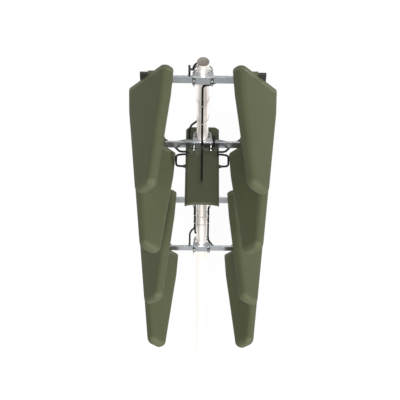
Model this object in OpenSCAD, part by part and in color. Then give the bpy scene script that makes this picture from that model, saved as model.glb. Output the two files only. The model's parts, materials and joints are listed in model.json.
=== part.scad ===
// Antenna head: eight log-periodic radomes on four crossbars, clamped to one mast.
// The radomes point along -Y. Levels are counted from the top, sides are -1 (left) and 1 (right).

/* [Mast] */
// Outer diameter of the mast tube
mast_d = 60; // [50:1:76]
// Wall thickness of the mast tube
mast_wall = 4; // [3:0.5:6]
// Height from the mast foot to the lowest crossbar
foot_to_bar = 1450; // [600:10:2000]
// Height between two crossbars
level_gap = 512; // [480:2:600]
// Height of the mast above the centre of the top crossbar
mast_above = 76; // [60:1:150]
// Thickness of the cap's disc
cap_t = 4; // [2:1:8]
// Depth of the cap's plug inside the mast
cap_plug = 20; // [12:1:30]

/* [Crossbars] */
// Length of a crossbar beyond the axis of a radome
bar_over = 50; // [40:1:70]
// Height of a crossbar
bar_h = 46; // [40:1:50]
// Thickness of a crossbar
bar_t = 10; // [6:1:12]

/* [Clamps] */
// Metal of the saddle between the mast and the crossbar
saddle_wall = 8; // [3:0.5:10]
// Width of the saddle
saddle_w = 104; // [100:1:112]
// Height of the saddle
saddle_h = 44; // [40:1:50]
// Depth of the saddle from the crossbar towards the mast's axis
saddle_depth = 24; // [18:1:28]
// Diameter of the U-bolt rod
bolt_d = 8; // [6:1:9]
// Half distance between the legs of a U-bolt
bolt_half = 44; // [42:1:46]
// Half height between the two U-bolts of a level
bolt_rise = 14; // [12.5:0.5:15]
// Length of thread in front of the nuts
thread_out = 10; // [6:1:25]
// Thickness of the front plate
plate_t = 3; // [3:0.5:8]
// Width of the front plate's lower tongue
tongue_w = 68; // [40:1:76]
// Gap between a tongue and the top of the housing
tongue_gap = 0.5; // [0.3:0.1:2]
// Width across the flats of a nut
nut_af = 13; // [11:1:14]
// Thickness of a nut
nut_t = 6.5; // [5:0.5:8]
// Diameter of a washer
washer_d = 16; // [14:1:18]
// Thickness of a washer
washer_t = 1.6; // [1:0.2:2.4]

/* [Radomes] */
// Distance from the mast axis to the axis of a radome
fin_x = 252; // [245:1:270]
// Roll of a radome about its own axis
fin_roll = 46.5; // [30:0.5:60]
// Length of a radome with its rear cover
fin_len = 653; // [500:1:800]
// Half width of a radome at its back
fin_half_back = 140; // [130:1:160]
// Distance from the back at which the sides of a radome bend
fin_bend = 150; // [80:1:200]
// Half width of a radome at that bend
fin_half_bend = 129.5; // [110:0.5:140]
// Half width of a radome at its nose
fin_half_nose = 55; // [45:1:70]
// Half thickness of a radome at its back
fin_thick_back = 37; // [34:1:42]
// Half thickness of a radome at its nose
fin_thick_nose = 29; // [26:1:32]
// Radius of the long edges of a radome
fin_edge_r = 30; // [20:1:31]
// Radius of the nose, seen on the broad face
nose_r = 34; // [20:1:44]
// Radius of the nose, seen on the narrow edge
nose_thick_r = 22; // [12:1:24]
// Wall of a radome and its cover
fin_wall = 4; // [3:0.5:5]
// Depth of the rear cover
cover_depth = 27; // [20:1:40]
// Radius of the cover's rear edge
cover_edge_r = 6; // [4:1:12]
// Gap between the crossbar's front and the cover's back
fin_gap = 0.5; // [0.3:0.1:3]

/* [Element boards] */
// Thickness of an element board
board_t = 3; // [2:0.5:5]
// Number of dipole pairs on a board
element_count = 12; // [6:1:14]
// Ratio of one dipole to the next
element_ratio = 0.87; // [0.8:0.01:0.92]
// Width of the board's spine
spine_w = 26; // [20:1:40]

/* [Fin mounts] */
// Reach of a mount from the axis of its radome towards the mast
mount_inward = 56; // [45:1:65]
// Reach of a mount from the axis of its radome outwards
mount_outward = 14; // [4:1:20]
// Height of a mount above the crossbar
mount_up = 26; // [15:1:30]
// Metal of a mount behind and below the crossbar
mount_wall = 6; // [4:0.5:10]
// Height of an end clamp above the crossbar
end_up = 18; // [8:1:20]
// Length by which an end clamp covers the bar's end face
end_cap_t = 3; // [2:0.5:5]
// Running clearance of a mount around the crossbar
slot_gap = 0.3; // [0.2:0.1:0.6]

/* [Housing] */
// Width of the combiner housing
box_w = 176; // [170:1:190]
// Height of the combiner housing
box_h = 50; // [40:1:70]
// Reach of the housing behind the mast axis
box_back = 97; // [85:1:120]
// Reach of the housing in front of the mast axis
box_front = 410; // [350:1:450]
// Wall of the housing
box_wall = 3; // [2:0.5:4]
// Gap between the crossbar's lower edge and the housing
box_drop = 6; // [4:1:12]
// Width of the bevel along the housing's long edges
box_bevel = 12; // [6:1:16]
// Height of that bevel
box_bevel_h = 7; // [4:1:12]
// Side of the cut rear corners
box_corner = 12; // [6:1:20]
// Depth of the hollow in the housing's front edge
box_hollow = 11; // [4:1:16]
// Width of the bevel along the housing's front edge
front_bevel = 5; // [2:1:8]
// Height of the housing's front down to its slanted underside
box_face = 14; // [10:1:24]
// Reach of that slanted underside
box_slant = 33; // [10:1:40]
// Gap between the mast and the housing's sleeve
sleeve_gap = 2; // [1:0.5:4]
// Wall of the housing's sleeve
sleeve_wall = 4; // [3:0.5:6]
// Thickness of the hanger plates
hanger_t = 4; // [3:0.5:5]

/* [Cables] */
// Diameter of the coax cable
coax_d = 11; // [9:0.5:11]
// Diameter of a side gland
gland_d = 20; // [16:1:22]
// Length of a side gland
gland_len = 13; // [10:1:20]
// Diameter of the small glands and ferrules
ferrule_d = 14; // [13:0.5:15]
// Length of the small glands
ferrule_len = 8; // [6:1:12]

/* [Connectors] */
// Distance of a connector from the middle of its rear cover
conn_off = 89; // [80:1:100]
// Diameter of a connector's body
conn_d = 16; // [14:1:18]
// Side of a connector's flange
conn_flange = 25; // [20:1:30]
// Thickness of a connector's flange
conn_flange_t = 3; // [2:0.5:4]
// Reach of a connector behind the rear cover
conn_reach = 25; // [22:1:30]
// Drop of a connector's ferrule
conn_drop = 19; // [16:1:24]
// Diameter of the output jack
jack_d = 18; // [17:0.5:20]
// Diameter of the output jack's thread
jack_thread_d = 15.8; // [14:0.2:16]

/* [Hidden] */

$fn = 48;
eps = 0.01;
levels = [1:4];
sides = [-1, 1];
mast_r = mast_d / 2;
bar_half = fin_x + bar_over;
mount_in = fin_x - mount_inward;
mount_out = fin_x + mount_outward;
bar_back_y = -(mast_r + saddle_wall);
bar_front_y = bar_back_y - bar_t;
fin_back_y = bar_front_y - fin_gap;
mast_top = foot_to_bar + 3 * level_gap + mast_above;
plug_wall = 1;
plug_seat_r = mast_r - mast_wall + plug_wall;
plate_front_y = bar_front_y - plate_t;
nut_back_y = plate_front_y - washer_t;
bolt_tip_y = nut_back_y - 2 * nut_t - thread_out;
// Bend of a U-bolt: a straight run behind the mast between two round corners
bend_r = bolt_half - 16;
bolt_rear_y = mast_r + bolt_d / 2;
bend_y = bolt_rear_y - bend_r;
box_top = -(bar_h / 2 + box_drop);
box_bottom = box_top - box_h;
sleeve_r = mast_r + sleeve_gap;
coax_r = coax_d / 2;
coax_sides = 8;
corner_steps = 4;
edge_steps = 4;
nose_steps = 4;
hollow_steps = 4;
olive = "#5b5d47";
dark_olive = "#4a4c3a";
galvanised = "#9a9ca0";
black = "#121212";

function level_z(k) = foot_to_bar + (4 - k) * level_gap;
function roll(k) = k % 2 == 1 ? fin_roll : -fin_roll;
function unit(v) = v / norm(v);

// Half width and half thickness of a radome at distance u from its back
function fin_a(u) =
  u < fin_bend
    ? fin_half_back + (fin_half_bend - fin_half_back) * u / fin_bend
    : fin_half_bend + (fin_half_nose - fin_half_bend) * (u - fin_bend) / (fin_len - fin_bend);
function fin_b(u) = fin_thick_back + (fin_thick_nose - fin_thick_back) * u / fin_len;

// One ring of a radome: a rectangle with round corners, at distance u from the back
function ring(u, a, b) =
  let (r = min(fin_edge_r, b * 0.9))
  [for (q = [0:3]) for (i = [0:edge_steps])
    let (ang = 90 * q + 90 * i / edge_steps,
         cx = (q == 0 || q == 3 ? 1 : -1) * (a - r),
         cz = (q < 2 ? 1 : -1) * (b - r))
    [cx + r * cos(ang), -u, cz + r * sin(ang)]];

// Rings of the round nose, for a skin that lies inset by w inside the outer one
function nose_rings(w) =
  [for (i = [0:nose_steps])
    let (s = 90 * i / nose_steps,
         u = fin_len - nose_r + (nose_r - w) * sin(s),
         k = 1 - cos(s))
    ring(u, fin_a(u) - w - (nose_r - w) * k, fin_b(u) - w - nose_thick_r * k)];

// Closed skin over a list of rings with equal numbers of points
module skin(rings) {
  n = len(rings[0]);
  m = len(rings);
  points = [for (r = rings) each r];
  sides_f = [for (i = [0:m - 2]) for (j = [0:n - 1])
    [i * n + j, (i + 1) * n + j, (i + 1) * n + (j + 1) % n, i * n + (j + 1) % n]];
  start = [[for (j = [0:n - 1]) j]];
  finish = [[for (j = [n - 1:-1:0]) (m - 1) * n + j]];
  polyhedron(points = points, faces = concat(start, sides_f, finish), convexity = 6);
}

// Corner points of a route, each corner rounded with a curve
function rounded(p, r) =
  concat([p[0]],
    [for (i = [1:len(p) - 2])
      let (a = p[i - 1] - p[i], b = p[i + 1] - p[i],
           c = min(0.999, max(-0.999, (a * b) / (norm(a) * norm(b)))),
           t = min(r / tan(acos(c) / 2), norm(a) * 0.49, norm(b) * 0.49),
           s = p[i] + unit(a) * t, e = p[i] + unit(b) * t)
      for (j = [0:corner_steps])
        let (k = j / corner_steps)
        s * pow(1 - k, 2) + p[i] * 2 * k * (1 - k) + e * pow(k, 2)],
    [p[len(p) - 1]]);

function tangent(q, i) = unit(q[min(i + 1, len(q) - 1)] - q[max(i - 1, 0)]);
function across(v, t) = unit(v - t * (v * t));

// Round cable along a route of corner points
module cable(route, bend = 24) {
  q = rounded(route, bend);
  t0 = tangent(q, 0);
  first = across(abs(t0[2]) > 0.7 ? [1, 0, 0] : [0, 0, 1], t0);
  ups = [for (i = 0, v = first; i < len(q); i = i + 1, v = across(v, tangent(q, min(i, len(q) - 1)))) v];
  rings = [for (i = [0:len(q) - 1])
    let (t = tangent(q, i), v = across(ups[i], t), w = cross(t, v))
    [for (j = [0:coax_sides - 1])
      let (ang = -360 * (j + 0.5) / coax_sides)
      q[i] + (v * cos(ang) + w * sin(ang)) * coax_r]];
  skin(rings);
}

// Places a piece drawn in a radome's own frame: X across, Z through, -Y towards the nose
module place_fin(k, side) {
  if (side > 0)
    mirror([1, 0, 0])
      translate([-fin_x, fin_back_y, level_z(k)])
        rotate([0, -roll(k), 0])
          children();
  else
    translate([-fin_x, fin_back_y, level_z(k)])
      rotate([0, -roll(k), 0])
        children();
}

module at_side(side) {
  if (side > 0)
    mirror([1, 0, 0]) children();
  else
    children();
}

module rod(from, to, d) {
  v = to - from;
  translate(from)
    rotate([0, acos(v[2] / norm(v)), atan2(v[1], v[0])])
      cylinder(d = d, h = norm(v));
}

module mast_tube() {
  color("#d8d2cb")
    difference() {
      cylinder(r = mast_r, h = mast_top);
      translate([0, 0, -1])
        cylinder(r = mast_r - mast_wall, h = mast_top + 2);
      translate([0, 0, mast_top - cap_plug])
        cylinder(r = plug_seat_r, h = cap_plug + 1);
    }
}

module mast_cap() {
  color("#84827c")
    union() {
      translate([0, 0, mast_top])
        cylinder(r = mast_r, h = cap_t);
      translate([0, 0, mast_top - cap_plug + 1])
        difference() {
          cylinder(r = plug_seat_r, h = cap_plug - 1 + eps);
          translate([0, 0, -1])
            cylinder(r = plug_seat_r - 3, h = cap_plug);
        }
    }
}

module crossbar(k) {
  color(galvanised)
    translate([0, 0, level_z(k)])
      difference() {
        translate([-bar_half, bar_front_y, -bar_h / 2])
          cube([2 * bar_half, bar_t, bar_h]);
        for (x = sides, z = sides)
          translate([x * bolt_half, bar_back_y + 1, z * bolt_rise])
            rotate([90, 0, 0])
              cylinder(d = bolt_d + 1, h = bar_t + 2);
      }
}

// Jaw between the mast and the crossbar, with an ear for the legs on each side
module saddle(k) {
  rear_y = bar_back_y + saddle_depth;
  color("#a8aaac")
    translate([0, 0, level_z(k)])
      difference() {
        translate([0, 0, -saddle_h / 2])
          linear_extrude(saddle_h)
            polygon([[-saddle_w / 2, bar_back_y], [saddle_w / 2, bar_back_y],
                     [saddle_w / 2 - 2, rear_y], [-saddle_w / 2 + 2, rear_y]]);
        translate([0, 0, -saddle_h])
          cylinder(r = mast_r, h = 2 * saddle_h);
        for (x = sides, z = sides)
          translate([x * bolt_half, rear_y + 1, z * bolt_rise])
            rotate([90, 0, 0])
              cylinder(d = bolt_d + 1, h = saddle_depth + 2);
      }
}

// One U-bolt lying flat: two legs, two round corners and the run behind the mast
module u_bolt() {
  for (x = sides)
    translate([x * bolt_half, bend_y, 0])
      rotate([90, 0, 0])
        cylinder(d = bolt_d, h = bend_y - bolt_tip_y);
  for (x = sides)
    translate([x * (bolt_half - bend_r), bend_y, 0])
      rotate([0, 0, x > 0 ? 0 : 90])
        rotate_extrude(angle = 90)
          translate([bend_r, 0])
            circle(d = bolt_d);
  translate([-(bolt_half - bend_r), bolt_rear_y, 0])
    rotate([0, 90, 0])
      cylinder(d = bolt_d, h = 2 * (bolt_half - bend_r));
}

module u_bolts(k) {
  color("#b4b4b6")
    for (z = sides)
      translate([0, 0, level_z(k) + z * bolt_rise])
        u_bolt();
}

// Front plates: each reaches a little below its crossbar with a tongue
module clamp_plates() {
  low = -bar_h / 2 - 1;
  tongue_low = box_top + tongue_gap;
  color("#9fa3a8")
    for (k = levels)
      translate([0, plate_front_y, level_z(k)])
        difference() {
          translate([0, plate_t, 0])
            rotate([90, 0, 0])
              linear_extrude(plate_t)
                polygon([[-saddle_w / 2, low], [-tongue_w / 2, low], [-tongue_w / 2, tongue_low],
                         [tongue_w / 2, tongue_low], [tongue_w / 2, low], [saddle_w / 2, low],
                         [saddle_w / 2, bar_h / 2], [-saddle_w / 2, bar_h / 2]]);
          for (x = sides, z = sides)
            translate([x * bolt_half, plate_t + 1, z * bolt_rise])
              rotate([90, 0, 0])
                cylinder(d = bolt_d + 1, h = plate_t + 2);
        }
}

module at_legs() {
  for (k = levels, x = sides, z = sides)
    translate([x * bolt_half, 0, level_z(k) + z * bolt_rise])
      rotate([90, 0, 0])
        children();
}

module clamp_washers() {
  color("#8d8f91")
    at_legs()
      translate([0, 0, -plate_front_y])
        difference() {
          cylinder(d = washer_d, h = washer_t);
          translate([0, 0, -1])
            cylinder(d = bolt_d + 0.4, h = washer_t + 2);
        }
}

// Each leg has a nut and a lock nut
module clamp_nuts() {
  color("#6f7274")
    at_legs()
      for (i = [0, 1])
        translate([0, 0, i * nut_t - nut_back_y])
          difference() {
            cylinder(d = nut_af / cos(30), h = nut_t, $fn = 6);
            translate([0, 0, -1])
              cylinder(d = bolt_d, h = nut_t + 2);
          }
}

// Hollow radome, open at its back, where the rear cover closes it
module radome(k, side) {
  inner = nose_rings(fin_wall);
  outer = nose_rings(0);
  color(olive)
    place_fin(k, side)
      skin(concat(
        [for (i = [nose_steps:-1:0]) inner[i]],
        [for (u = [fin_bend, cover_depth]) ring(u, fin_a(u) - fin_wall, fin_b(u) - fin_wall)],
        [for (u = [cover_depth, fin_bend]) ring(u, fin_a(u), fin_b(u))],
        outer));
}

module rear_cover(k, side) {
  a = fin_a(0);
  b = fin_b(0);
  rim_a = fin_a(cover_depth);
  rim_b = fin_b(cover_depth);
  r = cover_edge_r;
  color(dark_olive)
    place_fin(k, side)
      skin([
        ring(fin_wall, a - fin_wall - r, b - fin_wall - r),
        ring(fin_wall + r / 2, a - fin_wall - 1, b - fin_wall - 1),
        ring(cover_depth, rim_a - fin_wall, rim_b - fin_wall),
        ring(cover_depth, rim_a, rim_b),
        ring(r, a, b),
        ring(r / 2, a - r * 0.13, b - r * 0.13),
        ring(r / 6, a - r * 0.45, b - r * 0.45),
        ring(0, a - r, b - r)]);
}

// Log-periodic board: a spine with pairs of arms that shrink towards the nose
module elements(k, side) {
  reach = fin_half_back - fin_wall - 18;
  first_u = cover_depth + 30;
  step_0 = 78;
  color("#b08d3c")
    place_fin(k, side)
      translate([0, 0, -board_t / 2])
        linear_extrude(board_t)
          union() {
            translate([-spine_w / 2, -(fin_len - nose_r - 8)])
              square([spine_w, fin_len - nose_r - 8 - fin_wall]);
            for (i = [0:element_count - 1])
              let (s = pow(element_ratio, i),
                   u = first_u + step_0 * (1 - s) / (1 - element_ratio),
                   w = 16 * s + 4)
              if (u < fin_len - nose_r - 12)
                translate([-min(reach * s, fin_a(u) - fin_wall - 8), -u - w / 2])
                  square([2 * min(reach * s, fin_a(u) - fin_wall - 8), w]);
          }
}

// Block that carries one radome: it grips the crossbar and meets the rear cover
module bar_block(x_in, x_out, up, end_t) {
  low = bar_h / 2 + 2;
  difference() {
    translate([-x_out, fin_back_y, -low])
      cube([x_out - x_in, bar_t + fin_gap + mount_wall, low + bar_h / 2 + up]);
    translate([-x_out + end_t, bar_front_y - slot_gap, -bar_h / 2 - slot_gap])
      cube([x_out, bar_t + 2 * slot_gap, bar_h + 2 * slot_gap]);
  }
}

module fin_mounts() {
  color(dark_olive)
    for (k = levels, side = sides)
      translate([0, 0, level_z(k)])
        at_side(side)
          bar_block(mount_in, mount_out, mount_up, -1);
}

module end_clamps() {
  color("#2b2b2b")
    for (k = levels, side = sides)
      translate([0, 0, level_z(k)])
        at_side(side)
          bar_block(mount_out + 0.5, bar_half + end_cap_t, end_up, end_cap_t);
}

// Screw heads on the back of each mount
module mount_screws() {
  head_d = 12;
  head_t = 4;
  back_y = fin_back_y + bar_t + fin_gap + mount_wall;
  color("#8d8f91")
    for (k = levels, side = sides, x = [mount_in + 16, mount_out - 16])
      translate([0, 0, level_z(k)])
        at_side(side)
          translate([-x, back_y + head_t, 0])
            rotate([90, 0, 0])
              cylinder(d = head_d, h = head_t);
}

// Place of a connector on a rear cover: always the part above the crossbar
function conn_x(k) = -fin_x + (k % 2 == 1 ? 1 : -1) * conn_off * cos(fin_roll);
function conn_z(k) = level_z(k) + conn_off * sin(fin_roll);

// Right-angle connector behind a rear cover, with its ferrule pointing down
module radome_connectors() {
  color("#a9a27f")
    for (k = levels, side = sides)
      at_side(side)
        translate([conn_x(k), fin_back_y, conn_z(k)])
          union() {
            translate([-conn_flange / 2, 0, -conn_flange / 2])
              cube([conn_flange, conn_flange_t, conn_flange]);
            rotate([-90, 0, 0])
              cylinder(d = conn_d, h = conn_reach);
            translate([-conn_d / 2, conn_reach - conn_d / 2, -conn_d / 2])
              cube([conn_d, conn_d, conn_d]);
            translate([0, conn_reach, -conn_drop])
              cylinder(d = ferrule_d, h = conn_drop);
          }
}

// Outline of the housing at height z. The front edge is hollow, flat in its middle.
function box_ring(side_in, front_in, rear_in, z) =
  let (hw = box_w / 2 - side_in,
       front = box_front - front_in,
       rear = box_back - rear_in)
  concat(
    [for (i = [-hollow_steps:hollow_steps])
      let (k = i / hollow_steps)
      [k * hw, box_hollow * (1 - pow(abs(k), 3)) - front, z]],
    [[hw, rear - box_corner, z], [hw - box_corner, rear, z],
     [-hw + box_corner, rear, z], [-hw, rear - box_corner, z]]);

// Solid of the housing, inset by w, from height low to its top
module box_body(w, low) {
  skin([
    box_ring(w, box_slant + w, w, low),
    box_ring(w, w, w, box_top - box_face),
    box_ring(w, w, w, box_top - box_bevel_h),
    box_ring(box_bevel + w, front_bevel + w, w, box_top - w)]);
}

// Upper shell of the housing with the sleeve that the mast passes through
module combiner_housing() {
  floor_z = box_bottom + box_wall;
  color(olive)
    translate([0, 0, level_z(2)])
      difference() {
        union() {
          difference() {
            box_body(0, floor_z);
            box_body(box_wall, floor_z - 1);
          }
          translate([0, 0, floor_z])
            cylinder(r = sleeve_r + sleeve_wall, h = box_h - box_wall - 1);
        }
        translate([0, 0, box_bottom - 1])
          cylinder(r = sleeve_r, h = box_h + 2);
      }
}

module combiner_cover() {
  color(dark_olive)
    translate([0, 0, level_z(2) + box_bottom])
      difference() {
        linear_extrude(box_wall)
          polygon([for (p = box_ring(0, box_slant, 0, 0)) [p[0], p[1]]]);
        translate([0, 0, -1])
          cylinder(r = sleeve_r, h = box_wall + 2);
      }
}

// Circuit board on four posts, with the shielded divider in its middle
module combiner_board() {
  board_w = box_w - 2 * box_wall - 16;
  board_back = -(sleeve_r + sleeve_wall + 10);
  board_l = box_front - box_hollow - box_slant - box_wall - 12 + board_back;
  post_h = 10;
  floor_z = level_z(2) + box_bottom + box_wall;
  color("#2f5a34")
    union() {
      translate([-board_w / 2, board_back - board_l, floor_z + post_h])
        cube([board_w, board_l, 2]);
      for (x = sides, y = [board_back - 12, board_back - board_l + 12])
        translate([x * (board_w / 2 - 10), y, floor_z])
          cylinder(d = 8, h = post_h + 1);
      translate([-40, board_back - board_l / 2 - 50, floor_z + post_h + 1])
        cube([80, 100, 16]);
    }
}

// Plates behind the second crossbar that the housing hangs from
module housing_hangers() {
  in_x = saddle_w / 2 + 4;
  out_x = box_w / 2 + 46;
  rise = 9;
  foot_w = 6;
  foot_l = 24;
  color("#4f554c")
    for (side = sides)
      translate([0, 0, level_z(2)])
        at_side(side)
          union() {
            translate([0, bar_back_y + hanger_t, 0])
              rotate([90, 0, 0])
                linear_extrude(hanger_t)
                  polygon([[-in_x, box_top], [-in_x, bar_h / 2 + rise], [-box_w / 2, bar_h / 2 + rise],
                           [-out_x, bar_h / 2 - 6], [-out_x, -bar_h / 2 + 4],
                           [-box_w / 2 + box_bevel, box_top]]);
            translate([-in_x - foot_w, bar_back_y, box_top])
              cube([foot_w, foot_l, 3]);
          }
}

// Ends of the cables at the housing, measured from the second crossbar's centre
top_port_y = -74;
loop_top_y = -91;
side_port_y = -151;
side_port_z = -48;
rear_port = [-69.5, -20];
jumper_port = [61, -2];
tip_port_y = -282;
front_x = -2;
lower_ports = [[-74, -12], [74, -12], [-58, -12], [58, -12], [-58, 4]];
coax_lie = box_top + coax_r + 0.2;
boot = coax_d + 4;
boot_len = 14;

// Glands on the housing: boots on its top, tapered glands on its sides, ferrules for the rest
module cable_glands() {
  z2 = level_z(2);
  side_x = box_w / 2;
  flat_x = side_x - box_bevel;
  color(dark_olive)
    union() {
      for (side = sides)
        at_side(side) {
          for (y = [top_port_y, loop_top_y])
            translate([-flat_x, y - boot / 2, z2 + box_top])
              cube([boot_len, boot, boot]);
          translate([-side_x, side_port_y, z2 + side_port_z])
            rotate([0, -90, 0])
              cylinder(d1 = gland_d, d2 = ferrule_d, h = gland_len);
        }
      for (p = [rear_port, jumper_port])
        translate([p[0], p[1], z2 + box_top])
          cylinder(d = ferrule_d, h = ferrule_len);
      translate([front_x - boot / 2, tip_port_y, z2 + box_top])
        cube([boot, boot_len, boot]);
      for (p = lower_ports)
        translate([p[0], p[1], z2 + box_bottom - ferrule_len])
          cylinder(d = ferrule_d, h = ferrule_len);
    }
}

// Moulded T-joints: one beside the top clamp, one in front of the second clamp
tee_foot = [-66, -27, 40];
tee_stub = [-56, -19, 45];
sleeve_low = -7;
sleeve_high = 9;
sleeve_stub = 14;

module cable_joints() {
  z1 = [0, 0, level_z(1)];
  z2 = [0, 0, level_z(2)];
  front = [front_x, front_y, 0];
  color(black)
    union() {
      rod(z1 + tee_foot, z1 + tee_foot + [0, 0, 40], coax_d + 1);
      rod(z1 + tee_foot + [0, 0, 19], z1 + tee_stub, coax_d);
      rod(z2 + front + [0, 0, sleeve_low], z2 + front + [0, 0, sleeve_high], coax_d + 3);
      rod(z2 + front, z2 + front + [sleeve_stub, 0, 0], coax_d + 1);
    }
}

// Lanes of the cables: behind the crossbars, behind the mounts, in front of a clamp
lane_y = bar_back_y + coax_r + 0.5;
outer_y = fin_back_y + conn_reach;
front_y = plate_front_y - coax_r - 2;
lead_z = conn_off * sin(fin_roll) - conn_drop;
inner_x = fin_x - conn_off * cos(fin_roll);
outer_x = fin_x + conn_off * cos(fin_roll);

// A cable's first stretch, from an upper level's inner connector to the crossbar's middle
function inner_lead(s, z) = [
  [s * inner_x, outer_y, z + lead_z], [s * inner_x, outer_y, z + 26],
  [s * 184, -24, z + 8], [s * 168, lane_y, z], [s * 92, lane_y, z]];

// The same from an outer connector, over the mount's screws
function outer_lead(s, z) = [
  [s * outer_x, outer_y, z + lead_z], [s * outer_x, outer_y, z + 36],
  [s * 300, -25, z + 32], [s * 258, -25.5, z + 29], [s * 200, -25, z + 20]];

module coax_level_1() {
  z1 = level_z(1);
  z2 = level_z(2);
  color(black) {
    // Left: behind the crossbar, then up into the T-joint
    cable(concat(inner_lead(-1, z1), [[-72, lane_y, z1 + 5], [-66, -27, z1 + 16],
      tee_foot + [0, 0, z1]]));
    // From the T-joint round the mast's back, down to the housing's rear port
    cable([tee_stub + [0, 0, z1], [-50, -14, z1 + 37], [-46, 8, z1 + 31], [-40, 26, z1 + 29],
      [-24, 42, z1 + 27], [-10, 45, z1 + 18], [-10, 44, z1 - 40], [-10, 42, z1 - 120],
      [-10, 42, z2 + 130], [-14, 43, z2 + 106], [-42, 24, z2 + 97], [-58, 12, z2 + 93],
      [-68, -4, z2 + 76], [rear_port[0], rear_port[1], z2 + 40],
      [rear_port[0], rear_port[1], z2 + box_top + ferrule_len]]);
    // Right: behind the crossbar, under the clamp and down the mast's front
    cable(concat(inner_lead(1, z1), [[80, lane_y, z1 - 6], [68, lane_y, z1 - 31],
      [50, -37, z1 - 36], [29, -43, z1 - 40], [4, -45, z1 - 42], [front_x, -45, z1 - 62],
      [front_x, -42, z1 - 120], [front_x, -42, z2 + 120], [front_x, front_y, z2 + 60],
      [front_x, front_y, z2 + sleeve_high]]), 16);
    // From the second clamp along the housing's top
    cable([[front_x, front_y, z2 + sleeve_low], [front_x, front_y, z2 - 13],
      [front_x, front_y - 9, z2 + coax_lie], [front_x, -90, z2 + coax_lie],
      [front_x, -190, z2 + coax_lie], [front_x, tip_port_y + boot_len, z2 + coax_lie]]);
    // Jumper from the housing over the second crossbar to the front joint
    cable([[jumper_port[0], jumper_port[1], z2 + box_top + ferrule_len],
      [jumper_port[0], jumper_port[1], z2 + 20], [61, -16, z2 + 40], [61, -40, z2 + 43],
      [62, -57, z2 + 32], [62, front_y, z2 + 10], [56, front_y, z2], [34, front_y, z2],
      [front_x + sleeve_stub, front_y, z2]], 14);
  }
}

module coax_level_2() {
  z2 = level_z(2);
  color(black)
    for (s = sides)
      cable(concat(outer_lead(s, z2), [
        [s * 182, -30, z2 + 7], [s * 166, lane_y, z2 - 10], [s * 149, -35, z2 - 29],
        [s * 136, -48, z2 - 31], [s * 123, -66, z2 - 28], [s * 108, top_port_y, z2 + coax_lie],
        [s * (box_w / 2 - box_bevel), top_port_y, z2 + coax_lie]]), 16);
}

module coax_level_3() {
  z2 = level_z(2);
  z3 = level_z(3);
  color(black)
    for (s = sides)
      cable(concat(inner_lead(s, z3), [
        [s * 77, lane_y, z3 + 8], [s * 74, -20, z3 + 36], [s * 74, -12, z3 + 80],
        [s * 74, -12, z2 + box_bottom - 60], [s * 74, -12, z2 + box_bottom - ferrule_len]]));
}

module coax_level_4() {
  z2 = level_z(2);
  z3 = level_z(3);
  z4 = level_z(4);
  color(black) {
    cable(concat(outer_lead(-1, z4), [
      [-178, lane_y, z4 - 1], [-150, lane_y, z4 - 2], [-80, lane_y, z4], [-71, lane_y, z4 + 26],
      [-71, -28, z4 + 70], [-70, -26, z4 + 132], [-60, -18, z4 + 157], [-44, -11, z4 + 168],
      [-41, -10, z4 + 190], [-41, -10, z3 - 130], [-50, -11, z3 - 84], [-58, -12, z3 - 50],
      [-58, -12, z3 + 40], [-58, -12, z2 + box_bottom - 60], [-58, -12, z2 + box_bottom - ferrule_len]]));
    cable(concat(outer_lead(1, z4), [
      [178, lane_y, z4], [150, lane_y, z4 - 2], [80, lane_y, z4], [65, lane_y, z4 + 16],
      [50, -25, z4 + 40], [41, -18, z4 + 58], [39, -12, z4 + 96],
      [39, -12, z3 - 130], [50, -12, z3 - 84], [58, -12, z3 - 50],
      [58, -12, z3 + 40], [58, -12, z2 + box_bottom - 60], [58, -12, z2 + box_bottom - ferrule_len]]));
  }
}

// Jumpers from the housing's top round its side into the side glands
module coax_loops() {
  z2 = level_z(2);
  color(black)
    for (s = sides)
      cable([[s * (box_w / 2 - box_bevel), loop_top_y, z2 + coax_lie], [s * 100, loop_top_y, z2 + coax_lie],
        [s * 137, loop_top_y - 1, z2 - 30], [s * 137, side_port_y + 1, z2 - 46],
        [s * (box_w / 2 + gland_len), side_port_y, z2 + side_port_z]], 16);
}

// Output lead from the housing to the jack behind the mast, below the lowest clamp
jack_y = 44;
jack_drop = 90;

module coax_feeder() {
  z2 = level_z(2);
  z3 = level_z(3);
  z4 = level_z(4);
  color(black)
    cable([[-58, 4, z2 + box_bottom - ferrule_len], [-58, 4, z2 + box_bottom - 60], [-58, 4, z3 + 40],
      [-58, 4, z3 - 50], [-50, 6, z3 - 84], [-39, 7, z3 - 130], [-39, 7, z4 + 110],
      [-38, 20, z4 + 72], [-28, 38, z4 + 42], [-8, 46, z4 + 22], [0, 46, z4 + 4],
      [0, jack_y, z4 - 50], [0, jack_y, z4 - jack_drop]]);
}

// Threaded jack at the end of the output lead, held on the mast by a small block
module feeder_connector() {
  body_len = 22;
  thread_len = 14;
  color("#a9a27f")
    translate([0, jack_y, level_z(4) - jack_drop])
      union() {
        translate([0, 0, -body_len])
          cylinder(d = jack_d, h = body_len);
        translate([0, 0, -body_len - thread_len])
          cylinder(d = jack_thread_d, h = thread_len + 1);
        translate([-5, mast_r - jack_y, 2 - body_len])
          cube([10, jack_y - mast_r, body_len - 4]);
      }
}

// Bands round the mast that hold the cables
module cable_ties() {
  tie_h = 6;
  tie_t = 1.5;
  upper = [[-10, 42], [front_x, -42]];
  lower = [[-41, -10], [-39, 7], [39, -12]];
  color("#d9d4ce")
    for (z = [level_z(1) - 200, level_z(2) + 170, level_z(3) - 200, level_z(4) + 230])
      let (held = z > level_z(2) ? upper : lower)
      translate([0, 0, z])
        difference() {
          linear_extrude(tie_h)
            tie_outline(held, tie_t);
          translate([0, 0, -1])
            linear_extrude(tie_h + 2)
              tie_outline(held, 0);
        }
}

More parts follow.
